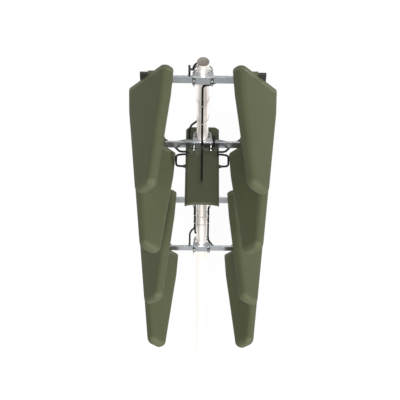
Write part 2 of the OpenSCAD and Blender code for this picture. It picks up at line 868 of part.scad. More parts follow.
module tie_outline(held, wall) {
  slack = 0.3;
  hull() {
    circle(r = mast_r + slack + wall, $fn = 32);
    for (p = held)
      translate(p)
        circle(r = coax_r + slack + wall, $fn = 32);
  }
}

mast_tube();
mast_cap();
crossbar(1);  // crossbar_1
crossbar(2);  // crossbar_2
crossbar(3);  // crossbar_3
crossbar(4);  // crossbar_4
saddle(1);  // saddle_1
saddle(2);  // saddle_2
saddle(3);  // saddle_3
saddle(4);  // saddle_4
u_bolts(1);  // u_bolts_1
u_bolts(2);  // u_bolts_2
u_bolts(3);  // u_bolts_3
u_bolts(4);  // u_bolts_4
clamp_plates();
clamp_washers();
clamp_nuts();
radome(1, -1);  // radome_1_left
radome(1, 1);  // radome_1_right
radome(2, -1);  // radome_2_left
radome(2, 1);  // radome_2_right
radome(3, -1);  // radome_3_left
radome(3, 1);  // radome_3_right
radome(4, -1);  // radome_4_left
radome(4, 1);  // radome_4_right
rear_cover(1, -1);  // rear_cover_1_left
rear_cover(1, 1);  // rear_cover_1_right
rear_cover(2, -1);  // rear_cover_2_left
rear_cover(2, 1);  // rear_cover_2_right
rear_cover(3, -1);  // rear_cover_3_left
rear_cover(3, 1);  // rear_cover_3_right
rear_cover(4, -1);  // rear_cover_4_left
rear_cover(4, 1);  // rear_cover_4_right
elements(1, -1);  // elements_1_left
elements(1, 1);  // elements_1_right
elements(2, -1);  // elements_2_left
elements(2, 1);  // elements_2_right
elements(3, -1);  // elements_3_left
elements(3, 1);  // elements_3_right
elements(4, -1);  // elements_4_left
elements(4, 1);  // elements_4_right
fin_mounts();
end_clamps();
mount_screws();
radome_connectors();
combiner_housing();
combiner_cover();
combiner_board();
housing_hangers();
cable_glands();
cable_joints();
feeder_connector();
cable_ties();
coax_level_1();
coax_level_2();
coax_level_3();
coax_level_4();
coax_loops();
coax_feeder();
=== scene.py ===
# Antenna head: eight olive radomes in mirrored pairs on four crossbars, with a combiner housing
# and black coax, all clamped to one mast. After the camera, the light and the cables, the sections
# follow the object from the mast outwards.
import bmesh
import bpy
import json
from math import acos, cos, pi, radians, sin, tan
from mathutils import Matrix, Vector


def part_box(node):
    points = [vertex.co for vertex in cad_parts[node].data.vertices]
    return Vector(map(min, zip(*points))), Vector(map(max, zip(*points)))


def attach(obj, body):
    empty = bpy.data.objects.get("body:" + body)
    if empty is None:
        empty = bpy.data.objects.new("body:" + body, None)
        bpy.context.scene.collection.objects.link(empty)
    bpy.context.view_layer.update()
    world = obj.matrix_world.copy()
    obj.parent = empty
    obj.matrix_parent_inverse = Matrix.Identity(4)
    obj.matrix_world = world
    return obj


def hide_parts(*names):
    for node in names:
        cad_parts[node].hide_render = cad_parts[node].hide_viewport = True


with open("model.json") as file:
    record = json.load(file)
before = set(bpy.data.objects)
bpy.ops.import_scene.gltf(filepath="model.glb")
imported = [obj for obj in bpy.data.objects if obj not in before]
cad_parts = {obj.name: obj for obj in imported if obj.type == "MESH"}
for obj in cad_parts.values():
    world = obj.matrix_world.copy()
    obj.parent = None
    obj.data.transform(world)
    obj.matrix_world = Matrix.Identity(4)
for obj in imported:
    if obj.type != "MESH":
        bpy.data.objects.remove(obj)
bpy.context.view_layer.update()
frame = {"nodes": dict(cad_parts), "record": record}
nodes = frame["nodes"]

# Camera.
# A long lens looks down at the antenna's head from the front. Its place was worked out from the
# photograph: distance and height are real sizes, measured from the top crossbar.
MM = 0.001
LEVELS = (1, 2, 3, 4)


def middle(node):
    """Centre of a CAD node's box, in metres."""
    low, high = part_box(node)
    return (Vector(low) + Vector(high)) / 2


level_z = {k: middle(f"crossbar_{k}").z / MM for k in LEVELS}
camera_ahead = 3318.5
camera_above = 3693.7
camera_down = radians(55.23)
camera_roll = radians(0.573)
camera_data = bpy.data.cameras.new("camera")
camera_data.lens = 91.04
camera_data.sensor_width = 36
camera_data.shift_x = -0.0046
camera_data.clip_end = 100
camera = bpy.data.objects.new("camera", camera_data)
camera.matrix_world = (
    Matrix.Translation(Vector((0, -camera_ahead, level_z[1] + camera_above)) * MM)
    @ Matrix.Rotation(pi / 2 - camera_down, 4, "X")
    @ Matrix.Rotation(camera_roll, 4, "Z")
)
bpy.context.scene.collection.objects.link(camera)
bpy.context.scene.camera = camera
bpy.context.scene.view_settings.view_transform = "Standard"

# Floor, backdrop and light.
# A white floor and a white surround, as in a catalogue cut-out. The even light comes from beside
# the camera, and a lower one from the right makes the faces turned to it lighter.


def linear(hex_colour):
    """An sRGB hex colour as the linear RGBA that shaders take."""
    channels = [int(hex_colour[i:i + 2], 16) / 255 for i in (1, 3, 5)]
    return [c / 12.92 if c <= 0.04045 else ((c + 0.055) / 1.055) ** 2.4 for c in channels] + [1]


def add(tree, kind, inputs=None, feeds=None, **settings):
    """Adds a shader node. inputs gives its sockets values, or links them to other sockets. feeds
    links its outputs on to the sockets of other nodes."""
    node = tree.nodes.new("ShaderNode" + kind)
    for name, value in settings.items():
        setattr(node, name, value)
    for socket, value in (inputs or {}).items():
        if isinstance(value, bpy.types.NodeSocket):
            tree.links.new(value, node.inputs[socket])
        else:
            node.inputs[socket].default_value = value
    for output, socket in (feeds or {}).items():
        tree.links.new(node.outputs[output], socket)
    return node


def seen_directly(tree):
    """1 for the rays that should see the plain backdrop: camera, mirror and glass rays."""
    path = add(tree, "LightPath")
    glossy = add(tree, "Math", {0: path.outputs["Is Camera Ray"], 1: path.outputs["Is Glossy Ray"]},
                 operation="MAXIMUM")
    clear = add(tree, "Math", {0: glossy.outputs[0], 1: path.outputs["Is Transmission Ray"]},
                operation="MAXIMUM")
    return clear.outputs[0]


world = bpy.data.worlds.new("studio")
bpy.context.scene.world = world
world.use_nodes = True
tree = world.node_tree
tree.nodes.clear()
ambient_strength = 0.14
ambient = add(tree, "Background", {"Color": linear("#ffffff"), "Strength": ambient_strength})
backdrop = add(tree, "Background", {"Color": linear("#ffffff"), "Strength": 1})
surround = add(tree, "MixShader", {0: seen_directly(tree), 1: ambient.outputs[0], 2: backdrop.outputs[0]})
add(tree, "OutputWorld", {"Surface": surround.outputs[0]})

# Most of the sheet's white is its own light, so that the object's shadow on it stays faint
own_light = 0.9
floor_material = bpy.data.materials.new("studio_floor")
floor_material.use_nodes = True
tree = floor_material.node_tree
tree.nodes.clear()
paper = add(tree, "BsdfDiffuse", {"Color": linear("#f2f2f2")})
white = add(tree, "Emission", {"Color": linear("#ffffff"), "Strength": 1})
lit_paper = add(tree, "MixShader", {0: own_light, 1: paper.outputs[0], 2: white.outputs[0]})
sheet = add(tree, "MixShader", {0: seen_directly(tree), 1: paper.outputs[0], 2: lit_paper.outputs[0]})
add(tree, "OutputMaterial", {"Surface": sheet.outputs[0]})

floor_half = 30  # metres
floor_mesh = bpy.data.meshes.new("studio_floor")
floor_mesh.from_pydata([(x, y, 0) for x, y in ((-1, -1), (1, -1), (1, 1), (-1, 1))], [], [(0, 1, 2, 3)])
floor_mesh.transform(Matrix.Scale(floor_half, 4))
floor_mesh.materials.append(floor_material)
floor = bpy.data.objects.new("studio_floor", floor_mesh)
bpy.context.scene.collection.objects.link(floor)


def far_light(name, towards, spread, strength):
    """An even light from far away, as soft as a panel that fills spread degrees of the sky."""
    data = bpy.data.lights.new(name, "SUN")
    data.angle = radians(spread)
    data.energy = strength
    lamp = bpy.data.objects.new(name, data)
    lamp.rotation_euler = Vector(towards).to_track_quat("Z", "Y").to_euler()
    bpy.context.scene.collection.objects.link(lamp)


far_light("key_light", towards=(0.79, -0.52, 0.33), spread=16, strength=3)
far_light("fill_light", towards=(-0.05, -0.67, 0.74), spread=20, strength=3.9)

# Cables.
# Black PVC jacketed coax, eleven millimetres thick, from each radome to the combiner housing and
# on to the output jack. The jacket is extruded smooth, and handling has dulled its black unevenly.


def surface(name, colour, roughness, metallic=0.0, sockets=None, tones=None, gloss=None, relief=None):
    """A material with a principled shader. tones, gloss and relief each give a pattern the width of
    its patches in millimetres. tones goes from a dark to a light colour, gloss from a low to a high
    roughness, and relief has its height in millimetres. sockets holds other values of the shader."""
    material = bpy.data.materials.new(name)
    material.use_nodes = True
    tree = material.node_tree
    shader = tree.nodes["Principled BSDF"]
    values = {"Base Color": linear(colour), "Roughness": roughness, "Metallic": metallic}
    for socket, value in (values | (sockets or {})).items():
        shader.inputs[socket].default_value = value
    place = add(tree, "TexCoord").outputs["Object"]
    drawn = {}
    for use, look in (("tones", tones), ("gloss", gloss), ("relief", relief)):
        if look:
            scaled = add(tree, "Mapping", {"Vector": place, "Scale": look.get("stretch", (1, 1, 1))})
            drawn[use] = add(tree, "TexNoise", {
                "Vector": scaled.outputs[0], "Scale": 1 / (look["width"] * MM),
                "Detail": look.get("detail", 3)}).outputs[0]
    if tones:
        add(tree, "Mix", {0: drawn["tones"], 6: linear(tones["dark"]), 7: linear(tones["light"])},
            {2: shader.inputs["Base Color"]}, data_type="RGBA")
    if gloss:
        add(tree, "MapRange", {"Value": drawn["gloss"], "To Min": gloss["low"], "To Max": gloss["high"]},
            {0: shader.inputs["Roughness"]})
    if relief:
        add(tree, "Bump", {"Height": drawn["relief"], "Distance": relief["height"] * MM, "Strength": 1},
            {0: shader.inputs["Normal"]})
    return material


def skin(rings, capped=True, joined=False):
    """Points and faces of a skin over equal rings. joined closes the last ring to the first."""
    count = len(rings[0])
    faces = []
    for i in range(len(rings) if joined else len(rings) - 1):
        a = i * count
        b = (i + 1) % len(rings) * count
        faces += [(a + j, a + (j + 1) % count, b + (j + 1) % count, b + j) for j in range(count)]
    if capped and not joined:
        faces.append(tuple(reversed(range(count))))
        faces.append(tuple(range((len(rings) - 1) * count, len(rings) * count)))
    return [p for ring in rings for p in ring], faces


def piece(name, parts, material, node=None, angle=35):
    """One object from parts in millimetres, fixed to the antenna. It may stand for a CAD node.
    Edges that turn by more than angle degrees stay sharp."""
    points = []
    faces = []
    for part_points, part_faces in parts:
        faces += [tuple(i + len(points) for i in face) for face in part_faces]
        points += [tuple(Vector(p) * MM) for p in part_points]
    mesh = bpy.data.meshes.new(name)
    mesh.from_pydata(points, [], faces)
    work = bmesh.new()
    work.from_mesh(mesh)
    bmesh.ops.remove_doubles(work, verts=work.verts, dist=0.001 * MM)
    bmesh.ops.recalc_face_normals(work, faces=work.faces)
    work.to_mesh(mesh)
    work.free()
    mesh.materials.append(material)
    mesh.polygons.foreach_set("use_smooth", [True] * len(mesh.polygons))
    mesh.set_sharp_from_angle(angle=radians(angle))
    made = bpy.data.objects.new(name, mesh)
    bpy.context.scene.collection.objects.link(made)
    if node:
        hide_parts(node)
    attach(made, "root")
    return made


def tube(points, radius, sides=16):
    """A round tube along points. radius is one value, or one for each point."""
    points = [Vector(p) for p in points]
    rings = []
    up = None
    for i, point in enumerate(points):
        along = (points[min(i + 1, len(points) - 1)] - points[max(i - 1, 0)]).normalized()
        up = up or (Vector((1, 0, 0)) if abs(along.z) > 0.7 else Vector((0, 0, 1)))
        up = (up - along * up.dot(along)).normalized()
        across = along.cross(up)
        r = radius[i] if isinstance(radius, list) else radius
        turns = [2 * pi * j / sides for j in range(sides)]
        rings.append([point + (up * cos(t) + across * sin(t)) * r for t in turns])
    return skin(rings)


def rounded(route, bend, steps=8):
    """A cable's route with every corner rounded, as the part's source rounds it."""
    route = [Vector(p) for p in route]
    points = [route[0]]
    for before, corner, after in zip(route, route[1:], route[2:]):
        a = before - corner
        b = after - corner
        turn = acos(max(-0.999, min(0.999, a.dot(b) / (a.length * b.length))))
        reach = min(bend / tan(turn / 2), a.length * 0.49, b.length * 0.49)
        start = corner + a.normalized() * reach
        end = corner + b.normalized() * reach
        for i in range(steps + 1):
            k = i / steps
            points.append(start * (1 - k) ** 2 + corner * 2 * k * (1 - k) + end * k ** 2)
    return points + [route[-1]]


jacket = surface("black_pvc_jacket", "#0d0d0c", 0.55, sockets={"Specular IOR Level": 0.15},
                 tones=dict(width=9, detail=5, dark="#070707", light="#0f0f0e"),
                 gloss=dict(width=9, detail=5, low=0.5, high=0.62))

# The part's own sizes, read from the frame or repeated from its source, in millimetres
bar_low, bar_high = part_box("crossbar_1")
bar_back = bar_high[1] / MM
plate_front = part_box("clamp_plates")[0][1] / MM
box_low, box_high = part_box("combiner_housing")
box_half = box_high[0] / MM
box_top = box_high[2] / MM - level_z[2]
box_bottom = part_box("combiner_cover")[0][2] / MM - level_z[2]
fin_x = -middle("radome_1_left").x / MM
fin_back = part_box("rear_cover_1_left")[1][1] / MM
fin_roll = radians(46.5)
coax_r = 5.5
box_bevel = 12
ferrule_len = 8
gland_len = 13
conn_off = 89  # a connector, from its radome's axis
conn_reach = 25  # behind the cover
conn_drop = 19  # down to the end of its ferrule
lane = bar_back + coax_r + 0.5  # where leads run behind the crossbar
outer_y = fin_back + conn_reach
front_y = plate_front - coax_r - 2
front_x = -2
lead_z = conn_off * sin(fin_roll) - conn_drop
inner_x = fin_x - conn_off * cos(fin_roll)
outer_x = fin_x + conn_off * cos(fin_roll)
lie = box_top + coax_r + 0.2  # where cables lie on the housing
flat_x = box_half - box_bevel
top_port_y = -74
loop_top_y = -91
side_port_y = -151
side_port_z = -48
tip_port_y = -282
boot_len = 14
sleeve_low = -7
sleeve_high = 9
sleeve_stub = 14
jack_y = 44
jack_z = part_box("feeder_connector")[1][2] / MM


def inner_lead(s, k):
    """From an inner connector of level 1 or 3 to the middle of the crossbar."""
    z = level_z[k]
    return [(s * inner_x, outer_y, z + lead_z), (s * inner_x, outer_y, z + 26),
            (s * 184, -24, z + 8), (s * 168, lane, z), (s * 92, lane, z)]


def outer_lead(s, k):
    """From an outer connector of level 2 or 4, over the screws of the mount."""
    z = level_z[k]
    return [(s * outer_x, outer_y, z + lead_z), (s * outer_x, outer_y, z + 36),
            (s * 300, -25, z + 32), (s * 258, -25.5, z + 29), (s * 200, -25, z + 20)]


z1, z2, z3, z4 = (level_z[k] for k in LEVELS)
low_port = z2 + box_bottom - ferrule_len
below_port = low_port - 52
tee_foot = (-66, -27, z1 + 40)
tee_stub = (-56, -19, z1 + 45)
left_tee = inner_lead(-1, 1) + [(-72, lane, z1 + 5), (-66, -27, z1 + 16), tee_foot]
tee_to_rear = [
    tee_stub, (-50, -14, z1 + 37), (-46, 8, z1 + 31), (-40, 26, z1 + 29),
    (-24, 42, z1 + 27), (-10, 45, z1 + 18), (-10, 44, z1 - 40), (-10, 42, z1 - 120),
    (-10, 42, z2 + 130), (-14, 43, z2 + 106), (-42, 24, z2 + 97), (-58, 12, z2 + 93),
    (-68, -4, z2 + 76), (-69.5, -20, z2 + 40), (-69.5, -20, z2 + box_top + ferrule_len)]
right_front = inner_lead(1, 1) + [
    (80, lane, z1 - 6), (68, lane, z1 - 31), (50, -37, z1 - 36), (29, -43, z1 - 40),
    (4, -45, z1 - 42), (front_x, -45, z1 - 62), (front_x, -42, z1 - 120), (front_x, -42, z2 + 120),
    (front_x, front_y, z2 + 60), (front_x, front_y, z2 + sleeve_high)]
along_housing = [
    (front_x, front_y, z2 + sleeve_low), (front_x, front_y, z2 - 13), (front_x, front_y - 9, z2 + lie),
    (front_x, -90, z2 + lie), (front_x, -190, z2 + lie), (front_x, tip_port_y + boot_len, z2 + lie)]
jumper = [
    (61, -2, z2 + box_top + ferrule_len), (61, -2, z2 + 20), (61, -16, z2 + 40), (61, -40, z2 + 43),
    (62, -57, z2 + 32), (62, front_y, z2 + 10), (56, front_y, z2), (34, front_y, z2),
    (front_x + sleeve_stub, front_y, z2)]
left_lowest = outer_lead(-1, 4) + [
    (-178, lane, z4 - 1), (-150, lane, z4 - 2), (-80, lane, z4), (-71, lane, z4 + 26),
    (-71, -28, z4 + 70), (-70, -26, z4 + 132), (-60, -18, z4 + 157), (-44, -11, z4 + 168),
    (-41, -10, z4 + 190), (-41, -10, z3 - 130), (-50, -11, z3 - 84), (-58, -12, z3 - 50),
    (-58, -12, z3 + 40), (-58, -12, below_port), (-58, -12, low_port)]
right_lowest = outer_lead(1, 4) + [
    (178, lane, z4), (150, lane, z4 - 2), (80, lane, z4), (65, lane, z4 + 16), (50, -25, z4 + 40),
    (41, -18, z4 + 58), (39, -12, z4 + 96), (39, -12, z3 - 130), (50, -12, z3 - 84),
    (58, -12, z3 - 50), (58, -12, z3 + 40), (58, -12, below_port), (58, -12, low_port)]
output_lead = [
    (-58, 4, low_port), (-58, 4, below_port), (-58, 4, z3 + 40), (-58, 4, z3 - 50),
    (-50, 6, z3 - 84), (-39, 7, z3 - 130), (-39, 7, z4 + 110), (-38, 20, z4 + 72),
    (-28, 38, z4 + 42), (-8, 46, z4 + 22), (0, 46, z4 + 4), (0, jack_y, z4 - 50), (0, jack_y, jack_z)]


def side_lead(s):
    """From an outer connector of level 2, behind and below the crossbar, to the housing's top."""
    return outer_lead(s, 2) + [
        (s * 182, -30, z2 + 7), (s * 166, lane, z2 - 10), (s * 149, -35, z2 - 29),
        (s * 136, -48, z2 - 31), (s * 123, -66, z2 - 28), (s * 108, top_port_y, z2 + lie),
        (s * flat_x, top_port_y, z2 + lie)]


def riser(s):
    """From an inner connector of level 3 straight up into the housing."""
    return inner_lead(s, 3) + [
        (s * 77, lane, z3 + 8), (s * 74, -20, z3 + 36), (s * 74, -12, z3 + 80),
        (s * 74, -12, below_port), (s * 74, -12, low_port)]


def side_loop(s):
    """Jumper from the housing's top round its side into the side gland."""
    return [(s * flat_x, loop_top_y, z2 + lie), (s * 100, loop_top_y, z2 + lie),
            (s * 137, loop_top_y - 1, z2 - 30), (s * 137, side_port_y + 1, z2 - 46),
            (s * (box_half + gland_len), side_port_y, z2 + side_port_z)]


SIDES = {"left": -1, "right": 1}
wide_bend = 24
close_bend = 16
tight_bend = 14
routes = {
    "coax_level_1": [(left_tee, wide_bend), (tee_to_rear, wide_bend), (right_front, close_bend),
                     (along_housing, wide_bend), (jumper, tight_bend)],
    "coax_level_2": [(side_lead(s), close_bend) for s in SIDES.values()],
    "coax_level_3": [(riser(s), wide_bend) for s in SIDES.values()],
    "coax_level_4": [(left_lowest, wide_bend), (right_lowest, wide_bend)],
    "coax_loops": [(side_loop(s), close_bend) for s in SIDES.values()],
    "coax_feeder": [(output_lead, wide_bend)],
}
for node, cables in routes.items():
    runs = [tube(rounded(route, bend), coax_r) for route, bend in cables]
    piece(f"{node}_jacket", runs, jacket, node)

# Mast.
# A plain round aluminium tube, blasted and bright anodised, faintly pink. It mirrors the clamps
# that stand on it as soft dark shades, and far things only as a tone.


def lathe(profile, place=(0, 0, 0), axis=(0, 0, 1), steps=48):
    """A part turned about an axis. profile lists (radius, distance along the axis)."""
    turn = Vector((0, 0, 1)).rotation_difference(Vector(axis)).to_matrix()
    angles = [2 * pi * j / steps for j in range(steps)]
    rings = []
    for r, h in profile:
        rings.append([turn @ Vector((r * cos(a), r * sin(a), h)) + Vector(place) for a in angles])
    return skin(rings, joined=True)


anodised = surface("blasted_anodised_aluminium", "#faf2eb", 0.34, metallic=0.7,
                   tones=dict(width=120, dark="#f8efe8", light="#fdf6f0"),
                   gloss=dict(width=3, low=0.32, high=0.4))  # the blasting, coarser than it is, to show

mounts = {m["name"]: m for m in frame["record"]["mounts"]}
mast_low, mast_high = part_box("mast_tube")
mast_r = (mast_high[0] - mast_low[0]) / 2 / MM
mast_len = mast_high[2] / MM
bore_r = mounts["mast_foot_bore"]["dims"]["r_mm"]
bore_len = mounts["mast_foot_bore"]["dims"]["length_mm"]
inner_r = bore_r + 1
rim = 0.6
wall = lathe([
    (bore_r + rim, 0), (mast_r - rim, 0), (mast_r, rim), (mast_r, mast_len - rim),
    (mast_r - rim, mast_len), (inner_r, mast_len), (inner_r, bore_len), (bore_r, bore_len),
    (bore_r, rim)], steps=96)
piece("mast", [wall], anodised, "mast_tube")

# Mast cap.
# A moulded grey plastic disc, dull from the mould's grain, with a plug below it that is pressed
# into the tube. Its top is slightly dished, and the rim is rounded where the mould closed.
plastic = surface("moulded_grey_polyethylene", "#716c66", 0.5,
                  tones=dict(width=14, dark="#69645e", light="#79746d"),
                  relief=dict(width=1.2, height=0.1))  # the mould's grain, coarser than it is
cap_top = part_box("mast_cap")[1][2] / MM
dish = cap_top - 1.2
plug_r = bore_r + 0.9
plug_bore = bore_r - 2
plug_low = mast_len - 18
disc = lathe([
    (0.5, dish), (mast_r - 6, dish), (mast_r - 4.5, cap_top - 0.2),
    (mast_r - 1.2, cap_top), (mast_r - 0.3, cap_top - 0.4), (mast_r, cap_top - 1.4),
    (mast_r, mast_len), (plug_r, mast_len), (plug_r, plug_low), (plug_bore, plug_low),
    (plug_bore, mast_len - 1), (0.5, mast_len - 1)], steps=96)
piece("mast_cap_dished", [disc], plastic, "mast_cap")

# Cable bands.
# Bands of natural nylon hold the cables on the mast. Unfilled nylon is milky and lets what lies
# behind it show. Each band is drawn tight through its lock and cut off.


def soften(body, edge, limit=40):
    """Rounds a piece's edges that turn by more than limit degrees, by edge millimetres."""
    weld = body.modifiers.new("weld", "WELD")
    weld.merge_threshold = 0.02 * MM
    bevel = body.modifiers.new("edge", "BEVEL")
    bevel.width = edge * MM
    bevel.segments = 2
    bevel.limit_method = "ANGLE"
    bevel.angle_limit = radians(limit)
    bevel.harden_normals = True


def dress(node, material, edge=0.0):
    """Gives a CAD node its finish, and rounds its edges by edge millimetres."""
    body = nodes[node]
    body.data.materials.clear()
    body.data.materials.append(material)
    if edge:
        soften(body, edge)


def block(low, high):
    """A box between two corners."""
    corners = [(x, y, z) for x in (low[0], high[0]) for y in (low[1], high[1]) for z in (low[2], high[2])]
    return corners, [(0, 1, 3, 2), (4, 6, 7, 5), (0, 4, 5, 1), (2, 3, 7, 6), (0, 2, 6, 4), (1, 5, 7, 3)]


nylon = surface("natural_nylon", "#d8d0c8", 0.3, sockets={"Transmission Weight": 0.8, "IOR": 1.53},
                tones=dict(width=6, dark="#cfc7be", light="#dfd8d0"),
                relief=dict(width=0.8, stretch=(0.1, 0.1, 1), height=0.08))  # lines along it, coarser
dress("cable_ties", nylon, edge=0.4)
tie_z = (z1 - 200, z2 + 170, z3 - 200, z4 + 230)
tie_h = 6
lock_in = mast_r - 4
lock_out = mast_r + 4.5
lock_front = 6
lock_back = 14
locks = [block((lock_in, lock_front, z - 1), (lock_out, lock_back, z + tie_h + 1)) for z in tie_z]
soften(piece("band_locks", locks, nylon), edge=0.8)

# Crossbars and clamp plates.
# Flat steel bars, hot-dip galvanised and wiped. The zinc froze in patches a centimetre or so
# wide, which gives a faintly mottled grey that mirrors what stands near it.
zinc_patch = 9
zinc_mottle = 5
zinc = surface("hot_dip_zinc", "#a8acb0", 0.35, metallic=1.0,
               gloss=dict(width=zinc_mottle, detail=6, low=0.32, high=0.38))
tree = zinc.node_tree
place = add(tree, "TexCoord").outputs["Object"]
spangle = add(tree, "TexVoronoi", {"Vector": place, "Scale": 1 / (zinc_patch * MM)})
mottle = add(tree, "TexNoise", {"Vector": place, "Scale": 1 / (zinc_mottle * MM), "Detail": 6})
blend = add(tree, "Mix", {0: 0.5, 2: spangle.outputs["Color"], 3: mottle.outputs[0]})
add(tree, "Mix", {0: blend.outputs[0], 6: linear("#9fa3a7"), 7: linear("#b4b7ba")},
    {2: tree.nodes["Principled BSDF"].inputs["Base Color"]}, data_type="RGBA")
for k in LEVELS:
    dress(f"crossbar_{k}", zinc, edge=0.3)
dress("clamp_plates", zinc, edge=0.3)

# Saddles.
# Cast aluminium jaws between the mast and the crossbar, tumbled after casting, which leaves an
# even dull grey with soft edges.
casting = surface("tumbled_cast_aluminium", "#9fa1a3", 0.42, metallic=1.0,
                  tones=dict(width=20, dark="#939598", light="#b0b2b4"),
                  relief=dict(width=1.5, detail=4, height=0.12))  # cast grain, coarser than it is
for k in LEVELS:
    dress(f"saddle_{k}", casting, edge=1.5)

# U-bolts.
# Bright zinc plated rods, bent cold round the mast. The thread is rolled on the front of each
# leg, drawn coarser than the real one so that it shows, and the tip is chamfered.
plated = surface("zinc_plated_steel", "#9b9c99", 0.3, metallic=1.0,
                 tones=dict(width=8, dark="#888985", light="#adaeaa"),
                 gloss=dict(width=3, low=0.24, high=0.38))
bolt_low, bolt_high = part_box("u_bolts_1")
bolt_r = 4
root_r = bolt_r - 0.55
crest_r = bolt_r - 0.05
tip_r = bolt_r - 1.4
chamfer = 0.6
bolt_half = bolt_high[0] / MM - bolt_r
bolt_rise = 14  # above and below the crossbar's middle
tip_y = bolt_low[1] / MM
rear_y = bolt_high[1] / MM - bolt_r
rear_run = 16
bend_r = bolt_half - rear_run
bend_steps = 12
pitch = 2  # coarser than it is, to show
thread_end = bar_low[1] / MM + 2  # just inside the crossbar


def leg(s, z):
    """Points and radii of one leg, from its tip to the end of the thread."""
    count = int((thread_end - tip_y) / pitch)
    points = [(s * bolt_half, tip_y, z)]
    radii = [tip_r]
    for i in range(count):
        for step, r in ((0.15, root_r), (0.5, crest_r), (0.85, root_r)):
            points.append((s * bolt_half, tip_y + chamfer + (i + step) * pitch, z))
            radii.append(r)
    return points, radii


def u_bolt(z):
    """One U-bolt lying flat: a leg, two bends with the run behind the mast, and a leg."""
    left, left_r = leg(-1, z)
    right, right_r = leg(1, z)
    arc = []
    for s, turns in ((-1, range(bend_steps + 1)), (1, range(bend_steps, -1, -1))):
        for i in turns:
            t = pi / 2 * i / bend_steps
            arc.append((s * (rear_run + bend_r * cos(t)), rear_y - bend_r + bend_r * sin(t), z))
    return tube(left + arc + right[::-1], left_r + [bolt_r] * len(arc) + right_r[::-1], sides=20)


for k in LEVELS:
    rods = [u_bolt(level_z[k] + rise) for rise in (-bolt_rise, bolt_rise)]
    piece(f"u_bolt_rods_{k}", rods, plated, f"u_bolts_{k}")

# Washers, nuts and screws.
# Plated like the U-bolts, but the nuts are drawn in a darker grey. The mounts are closed with
# socket head screws.
dark_plated = surface("darker_plated_nut", "#5f625f", 0.3, metallic=1.0,
                      tones=dict(width=4, dark="#4b4e4a", light="#757874"))
dress("clamp_washers", plated, edge=0.2)
dress("clamp_nuts", dark_plated, edge=0.7)


def socket_screw(place, axis, r, height):
    """Head of a socket screw that stands on place."""
    return lathe([
        (0.1, 0), (r, 0), (r, height - 0.6), (r - 0.6, height), (r * 0.5, height),
        (r * 0.45, height - 0.4), (r * 0.45, height * 0.35), (0.1, height * 0.3)], place, axis, steps=32)


screw_low, screw_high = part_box("mount_screws")
screw_r = 6
screw_h = (screw_high[1] - screw_low[1]) / MM
screw_inset = 16
mount_in = fin_x - 56
mount_out = fin_x + 14
mount_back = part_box("fin_mounts")[1][1] / MM
heads = [socket_screw((s * x, mount_back, level_z[k]), (0, 1, 0), screw_r, screw_h)
         for k in LEVELS for s in SIDES.values()
         for x in (mount_in + screw_inset, mount_out - screw_inset)]
piece("socket_screws", heads, plated, "mount_screws")

# Radomes.
# Hollow shells of glass fibre in polyester with an olive gel coat, moulded in one piece. The coat
# is even in colour with hardly any shine, and slightly wavy from the glass mat below it.
gel_coat = surface("olive_gel_coat", "#4d5038", 0.44, sockets={"Specular IOR Level": 0.08},
                   tones=dict(width=160, detail=4, dark="#494c38", light="#4f523d"),
                   gloss=dict(width=45, detail=2, low=0.4, high=0.48),
                   relief=dict(width=45, detail=2, height=0.2))

cover_depth = fin_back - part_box("rear_cover_1_left")[0][1] / MM
fin_len = fin_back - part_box("radome_1_left")[0][1] / MM
# Half the width and thickness at the back, at the bend of the long edges and at the nose
half_back = 140
bend_at = 150
half_bend = 129.5
half_nose = 55
thick_back = 37
thick_nose = 29
edge_r = 30
nose_r = 34
nose_thick_r = 22
seam = 2  # chamfer on each side of the groove
seam_gap = 0.5
corner_steps = 10


def fin_half(u):
    """Half width and half thickness of a radome, u millimetres from its back."""
    if u < bend_at:
        wide = half_back + (half_bend - half_back) * u / bend_at
    else:
        wide = half_bend + (half_nose - half_bend) * (u - bend_at) / (fin_len - bend_at)
    return wide, thick_back + (thick_nose - thick_back) * u / fin_len


def fin_ring(u, inset=0.0, flat_inset=None):
    """Outline of a radome across its length: a rectangle with round corners."""
    a, b = fin_half(u)
    a -= inset
    b -= inset if flat_inset is None else flat_inset
    r = min(edge_r, b * 0.9)
    ring = []
    for quarter, (sx, sz) in enumerate(((1, 1), (-1, 1), (-1, -1), (1, -1))):
        for i in range(corner_steps + 1):
            t = pi / 2 * (quarter + i / corner_steps)
            ring.append(Vector((sx * (a - r) + r * cos(t), -u, sz * (b - r) + r * sin(t))))
    return ring


def in_place(k, s, p):
    """A point of a radome's own frame, moved to its place on level k and side s."""
    roll = fin_roll if k % 2 else -fin_roll
    q = Matrix.Rotation(-roll, 3, "Y") @ Vector(p)
    return Vector((-s * (q.x - fin_x), fin_back + q.y, level_z[k] + q.z))


def placed(k, s, part):
    """A part in a radome's own frame, moved to its place."""
    points, faces = part
    return [in_place(k, s, p) for p in points], faces


def shell_part():
    """The shell, from its open back with half a seam groove to the middle of its round nose."""
    back = cover_depth + seam_gap
    start = back + seam
    straight_steps = 32
    nose_steps = 12
    rings = [fin_ring(back, seam), fin_ring(start)]
    for i in range(1, straight_steps + 1):
        rings.append(fin_ring(start + (fin_len - nose_r - start) * i / straight_steps))
    for i in range(1, nose_steps + 1):
        t = pi / 2 * i / nose_steps
        drop = 1 - cos(t)
        rings.append(fin_ring(fin_len - nose_r + nose_r * sin(t), nose_r * drop, nose_thick_r * drop))
    return skin(rings)


for k in LEVELS:
    for side_name, s in SIDES.items():
        shell = [placed(k, s, shell_part())]
        piece(f"radome_skin_{k}_{side_name}", shell, gel_coat,
              f"radome_{k}_{side_name}", angle=25)

